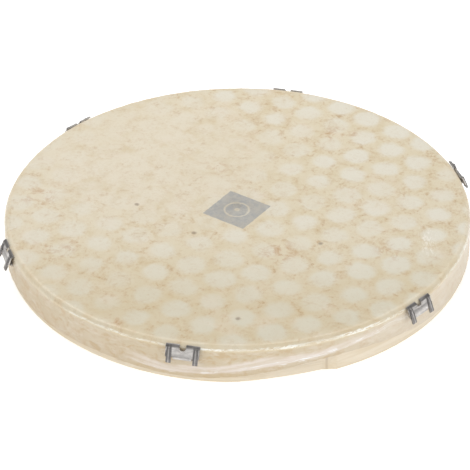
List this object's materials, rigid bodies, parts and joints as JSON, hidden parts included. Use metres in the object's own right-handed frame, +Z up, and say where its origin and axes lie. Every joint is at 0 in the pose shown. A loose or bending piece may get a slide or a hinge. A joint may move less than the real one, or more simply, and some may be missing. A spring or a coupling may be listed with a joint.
{
  "type": "frame drum",
  "caption": "Shallow round frame drum: a rawhide head over a bent-wood frame, held at the rim by steel claws that are tuned from inside.",
  "frame": {"origin": "centre of the drum's bottom edge, on the surface it rests on", "axes": "+Z up through the playing face; the first claw stands at -102.5 degrees from +X towards +Y"},
  "size_m": [0.4055, 0.411, 0.036],
  "materials": {
    "rawhide_head": "natural goatskin, thin and slightly glossy, mottled",
    "shell_wood": "bent beech, clear satin varnish",
    "ring_wood": "bent ash with a lap joint, satin",
    "hoop_wood": "bent beech, unvarnished",
    "claw_steel": "pressed sheet steel, dull zinc",
    "bracket_steel": "pressed sheet steel, dull zinc",
    "screw_steel": "bright zinc-plated steel"
  },
  "bodies": {
    "frame": {"rawhide_head": "rawhide_head", "flesh_hoop": "hoop_wood", "shell_ring": "shell_wood", "lower_ring": "ring_wood", "bracket_1": "bracket_steel", "wood_screw_1a": "screw_steel", "wood_screw_1b": "screw_steel", "bracket_2": "bracket_steel", "wood_screw_2a": "screw_steel", "wood_screw_2b": "screw_steel", "bracket_3": "bracket_steel", "wood_screw_3a": "screw_steel", "wood_screw_3b": "screw_steel", "bracket_4": "bracket_steel", "wood_screw_4a": "screw_steel", "wood_screw_4b": "screw_steel", "bracket_5": "bracket_steel", "wood_screw_5a": "screw_steel", "wood_screw_5b": "screw_steel", "bracket_6": "bracket_steel", "wood_screw_6a": "screw_steel", "wood_screw_6b": "screw_steel"},
    "claw_1_body": {"claw_1": "claw_steel", "square_nut_1": "screw_steel"},
    "screw_1_body": {"tension_screw_1": "screw_steel", "washer_1": "screw_steel"},
    "claw_2_body": {"claw_2": "claw_steel", "square_nut_2": "screw_steel"},
    "screw_2_body": {"tension_screw_2": "screw_steel", "washer_2": "screw_steel"},
    "claw_3_body": {"claw_3": "claw_steel", "square_nut_3": "screw_steel"},
    "screw_3_body": {"tension_screw_3": "screw_steel", "washer_3": "screw_steel"},
    "claw_4_body": {"claw_4": "claw_steel", "square_nut_4": "screw_steel"},
    "screw_4_body": {"tension_screw_4": "screw_steel", "washer_4": "screw_steel"},
    "claw_5_body": {"claw_5": "claw_steel", "square_nut_5": "screw_steel"},
    "screw_5_body": {"tension_screw_5": "screw_steel", "washer_5": "screw_steel"},
    "claw_6_body": {"claw_6": "claw_steel", "square_nut_6": "screw_steel"},
    "screw_6_body": {"tension_screw_6": "screw_steel", "washer_6": "screw_steel"}
  },
  "joints": [
    {"name": "screw_1_turn", "type": "hinge", "parent": "frame", "child": "screw_1_body", "pos_m": [-0.03755, -0.16939, 0.0069], "axis": [0, 0, 1], "range_deg": [-1080, 0]},
    {"name": "claw_1_slide", "type": "slide", "parent": "frame", "child": "claw_1_body", "axis": [0, 0, 1], "range_m": [0, 0.003]},
    {"name": "screw_2_turn", "type": "hinge", "parent": "frame", "child": "screw_2_body", "pos_m": [0.12523, -0.12009, 0.0069], "axis": [0, 0, 1], "range_deg": [-1080, 0]},
    {"name": "claw_2_slide", "type": "slide", "parent": "frame", "child": "claw_2_body", "axis": [0, 0, 1], "range_m": [0, 0.003]},
    {"name": "screw_3_turn", "type": "hinge", "parent": "frame", "child": "screw_3_body", "pos_m": [0.16644, 0.04899, 0.0069], "axis": [0, 0, 1], "range_deg": [-1080, 0]},
    {"name": "claw_3_slide", "type": "slide", "parent": "frame", "child": "claw_3_body", "axis": [0, 0, 1], "range_m": [0, 0.003]},
    {"name": "screw_4_turn", "type": "hinge", "parent": "frame", "child": "screw_4_body", "pos_m": [0.04139, 0.16849, 0.0069], "axis": [0, 0, 1], "range_deg": [-1080, 0]},
    {"name": "claw_4_slide", "type": "slide", "parent": "frame", "child": "claw_4_body", "axis": [0, 0, 1], "range_m": [0, 0.003]},
    {"name": "screw_5_turn", "type": "hinge", "parent": "frame", "child": "screw_5_body", "pos_m": [-0.1248, 0.12052, 0.0069], "axis": [0, 0, 1], "range_deg": [-1080, 0]},
    {"name": "claw_5_slide", "type": "slide", "parent": "frame", "child": "claw_5_body", "axis": [0, 0, 1], "range_m": [0, 0.003]},
    {"name": "screw_6_turn", "type": "hinge", "parent": "frame", "child": "screw_6_body", "pos_m": [-0.16547, -0.05217, 0.0069], "axis": [0, 0, 1], "range_deg": [-1080, 0]},
    {"name": "claw_6_slide", "type": "slide", "parent": "frame", "child": "claw_6_body", "axis": [0, 0, 1], "range_m": [0, 0.003]}
  ],
  "couplings": [
    {"joint": "screw_1_turn", "follows": "claw_1_slide", "rad_per_m": -6283.2},
    {"joint": "screw_2_turn", "follows": "claw_2_slide", "rad_per_m": -6283.2},
    {"joint": "screw_3_turn", "follows": "claw_3_slide", "rad_per_m": -6283.2},
    {"joint": "screw_4_turn", "follows": "claw_4_slide", "rad_per_m": -6283.2},
    {"joint": "screw_5_turn", "follows": "claw_5_slide", "rad_per_m": -6283.2},
    {"joint": "screw_6_turn", "follows": "claw_6_slide", "rad_per_m": -6283.2}
  ]
}
